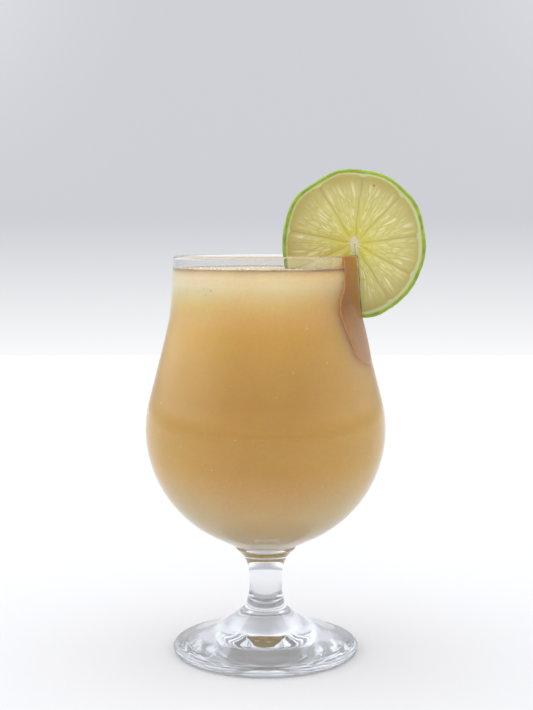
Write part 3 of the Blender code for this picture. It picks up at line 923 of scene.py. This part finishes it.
def drink_piece():
    """The drink with its top in faint relief, cut round the sunk part of the wheel."""
    wall, top = drink_outline()
    piece = turned("daiquiri", wall + top, 240, [daiquiri_behind_glass(), daiquiri_surface()])
    mesh = piece.data
    places = np.empty(len(mesh.vertices) * 3)
    mesh.vertices.foreach_get("co", places)
    places = places.reshape(-1, 3)
    on_top = places[:, 2] > DRINK_LEVEL - 1e-6
    swell = 0.07 * MM * soft_noise(places[:, 0] / (4 * MM), places[:, 1] / (4 * MM), 70)
    swell += 0.04 * MM * soft_noise(places[:, 0] / (1.5 * MM), places[:, 1] / (1.5 * MM), 71)
    places[:, 2] += np.where(on_top, swell, 0.0)
    mesh.vertices.foreach_set("co", places.reshape(-1))
    slots = [
        int(f.center.z > DRINK_LEVEL - 0.3 * MM and f.normal.z > 0.3) for f in mesh.polygons
    ]
    mesh.polygons.foreach_set("material_index", slots)
    angles = np.linspace(0, 2 * math.pi, 180, endpoint=False)
    radius = lime_radius(angles) - 0.02 * MM
    outline = [(LIME_X + r * math.cos(a), LIME_Z + r * math.sin(a)) for r, a in zip(radius, angles)]
    cut_out(piece, [prism("sunk", outline, -LIME_HALF, LIME_HALF)])
    return piece


def wall_bubbles(draw, wall):
    """Small bubbles caught against the wall, more of them near the top."""
    found = []
    for _ in range(WALL_BUBBLES):
        z = 52 * MM + 90 * MM * draw.random() ** 0.8
        azimuth = draw.uniform(0, 2 * math.pi)
        radius = draw.uniform(0.14, 0.30) * MM
        if draw.random() < 0.15:
            radius *= 1.4
        r = radius_at(wall, z) + INTO_WALL + 0.1 * radius
        found.append((r * math.sin(azimuth), -r * math.cos(azimuth), z, radius))
    return found


def level_bubbles(draw, wall):
    """Bubbles gathered where the drink meets the wall, and others out on its top."""
    found = []
    for _ in range(LEVEL_BUBBLES):
        azimuth = draw.uniform(0, 2 * math.pi)
        radius = draw.uniform(0.10, 0.32) * MM
        z = DRINK_LEVEL + CURL_HEIGHT + draw.uniform(-0.1, 0.35) * MM
        r = radius_at(wall, z) - 0.6 * radius
        found.append((r * math.sin(azimuth), -r * math.cos(azimuth), z, radius))
    for _ in range(TOP_BUBBLES):
        azimuth = draw.uniform(0, 2 * math.pi)
        r = 31 * MM * (1 - 0.8 * draw.random() ** 2)
        radius = draw.uniform(0.10, 0.32) * MM
        z = DRINK_LEVEL - 0.2 * radius
        found.append((r * math.sin(azimuth), -r * math.cos(azimuth), z, radius))
    return [b for b in found if not (b[0] > 4 * MM and abs(b[1]) < LIME_HALF + b[3])]


def bubbles_piece():
    """All the bubbles that show, at the wall, round the level and out on the top."""
    draw = np.random.default_rng(7)
    wall = inner_wall()
    places = wall_bubbles(draw, wall) + level_bubbles(draw, wall)
    return beads("froth", places, froth_bubbles())


# The film of drink over the rim


def spill_path():
    """The film's way over the wall: up the inside, over the rim and down the outside."""
    wall, outside = inner_wall(), outer_bowl()
    heights = np.linspace(SPILL_START_Z, GLASS_HEIGHT - RIM_ROUNDING, 28)[1:]
    up = [(radius_at(wall, z), z) for z in heights]
    down = [p for p in outside if p[1] > SPILL_END_Z]
    start = (radius_at(wall, SPILL_START_Z), SPILL_START_Z)
    end = (radius_at(outside[::-1], SPILL_END_Z), SPILL_END_Z)
    return [start] + up + rim_rounding() + down + [end]


def spill_piece():
    """The film as a closed skin with rounded edges. Its back is just inside the glass."""
    across = 40
    path = spill_path()
    rim_at = max(range(len(path)), key=lambda i: path[i][1])
    rows, edge_light = [], []
    for i, (r, z) in enumerate(path):
        (r0, z0), (r1, z1) = path[max(i - 1, 0)], path[min(i + 1, len(path) - 1)]
        length = math.hypot(r1 - r0, z1 - z0)
        normal = ((z0 - z1) / length, (r1 - r0) / length)
        station = GLASS_HEIGHT if i <= rim_at else z
        left = value_at(SPILL_LEFT, station)
        if i <= rim_at:
            left -= SPILL_CREEP * math.exp((SPILL_START_Z - z) / SPILL_CREEP_HEIGHT)
        right = value_at(SPILL_RIGHT, station)
        middle = value_at(SPILL_THICKNESS, station)
        row = []
        for k in range(2 * across):
            share = k / across if k <= across else 2 - k / across
            share = 0.5 - 0.5 * math.cos(math.pi * share)
            azimuth = math.radians(left + (right - left) * share)
            width = math.radians(right - left) * r
            inset = min(share, 1 - share) * width
            rounded = math.sqrt(1 - (1 - min(inset / FILM_ROUNDING, 1.0)) ** 2)
            # Painted light: the run up the inside of the wall is painted paler all over, and the outside
            # paler near its edges, as a painted highlight.
            edge_light.append(1.0 if i < rim_at else 0.6 * max(0.0, 1.0 - inset / FILM_EDGE))
            lift = -FILM_BACK if k > across else middle * rounded - FILM_BACK / 2
            radius = r + normal[0] * lift
            row.append((
                radius * math.sin(azimuth), -radius * math.cos(azimuth), z + normal[1] * lift
            ))
        rows.append(row)
    count = 2 * across
    points = [p for row in rows for p in row]
    faces = []
    for i in range(len(rows) - 1):
        for k in range(count):
            j = (k + 1) % count
            faces.append((i * count + k, i * count + j, (i + 1) * count + j, (i + 1) * count + k))
    last = (len(rows) - 1) * count
    for k in range(across):
        a, b = k, (k + 1)
        c, d = (count - k - 1), (count - k) % count
        faces.append((b, a, d, c) if d != a else (b, a, c))
        cap = (last + a, last + b, last + c, last + d) if d != a else (last + a, last + b, last + c)
        faces.append(cap)
    shape = piece_of("daiquiri_run", points, faces, [daiquiri_film()])
    layer = shape.data.attributes.new("thin_and_lit_edge", "FLOAT", "POINT")
    layer.data.foreach_set("value", edge_light)
    fixed = bmesh.new()
    fixed.from_mesh(shape.data)
    bmesh.ops.dissolve_degenerate(fixed, edges=fixed.edges, dist=1e-7)
    bmesh.ops.recalc_face_normals(fixed, faces=fixed.faces)
    fixed.to_mesh(shape.data)
    fixed.free()
    return shape


# Studio


def paper_floor():
    """A wide sheet of paper. The tent's walls stand behind it."""
    steps = 12
    line = np.linspace(-FLOOR_HALF, FLOOR_HALF, steps + 1)
    points = [(x, y, FLOOR_Z) for y in line for x in line]
    faces = []
    for j in range(steps):
        for i in range(steps):
            k = j * (steps + 1) + i
            faces.append((k, k + 1, k + steps + 2, k + steps + 1))
    return piece_of("paper_floor", points, faces, [matt_paper("#D6D5D4")])


def tent_light():
    """A light tent: grey walls that fade into the floor's tone below the horizon, so that no edge is
    mirrored in the glass, lit from outside from above, from the front and from both sides."""
    world = bpy.data.worlds.new("light_tent")
    bpy.context.scene.world = world
    world.use_nodes = True
    tree = world.node_tree
    tree.nodes.clear()
    direction = add(tree, "TexCoord").outputs["Generated"]
    height = add(tree, "SeparateXYZ", {"Vector": direction}).outputs["Z"]
    share = add(tree, "MapRange", {"Value": height, "From Min": -1.0, "From Max": 1.0})
    walls = add(tree, "ValToRGB", {"Fac": share.outputs["Result"]})
    ramp_stops(walls, TENT_STOPS)
    strength = 1.0
    for towards, reach, power, full_from in TENT_LAMPS:
        aim = tuple(Vector(towards).normalized())
        facing = add(tree, "VectorMath", {0: direction, 1: aim}, operation="DOT_PRODUCT")
        glow = add(tree, "MapRange", {
            "Value": facing.outputs["Value"], "From Min": reach, "From Max": 1.0, "To Max": power,
        }, interpolation_type="SMOOTHSTEP")
        rise = add(tree, "MapRange", {
            "Value": height, "From Min": 0.0, "From Max": full_from,
        }, interpolation_type="SMOOTHSTEP")
        lit = add(tree, "Math", {
            0: glow.outputs["Result"], 1: rise.outputs["Result"], 2: strength,
        }, operation="MULTIPLY_ADD")
        strength = lit.outputs[0]
    light = add(tree, "Background", {"Color": walls.outputs["Color"], "Strength": strength})
    output = add(tree, "OutputWorld")
    tree.links.new(light.outputs[0], output.inputs["Surface"])


def camera():
    """The photograph's camera: a little above the rim, tilted down a little."""
    data = bpy.data.cameras.new("camera")
    data.sensor_fit = "AUTO"
    data.sensor_width = SENSOR_MM
    data.lens = FOCAL_PIXELS * SENSOR_MM / max(IMAGE_SIZE)
    data.clip_start = 0.02
    data.clip_end = 20.0
    made = bpy.data.objects.new("camera", data)
    bpy.context.scene.collection.objects.link(made)
    made.location = (CAMERA_X, -CAMERA_DISTANCE, CAMERA_HEIGHT)
    made.rotation_euler = (math.radians(90.0 - CAMERA_PITCH_DEG), 0.0, 0.0)
    bpy.context.scene.camera = made


def place(piece, slot, node=None):
    """Hangs a piece on the glass's body and hides the solid that it stands for. Its slot is not used."""
    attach(piece, "root")
    if node:
        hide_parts(node)


def main():
    """Builds the studio and dresses the four solids."""
    camera()
    paper_floor()
    tent_light()
    glass = turned("tulip_glass", glass_outline(), GLASS_SEGMENTS, [pressed_soda_lime_glass()])
    place(glass, "clear_glass", "glass")
    place(drink_piece(), "daiquiri", "drink")
    place(bubbles_piece(), "daiquiri")
    place(lime_wheel(), "lime", "lime_wheel")
    place(spill_piece(), "daiquiri_film", "drink_spill")
    bpy.context.scene.view_settings.view_transform = "Standard"
    paths = bpy.context.scene.cycles
    paths.max_bounces = paths.glossy_bounces = paths.transmission_bounces = 32
    paths.diffuse_bounces = 12


main()
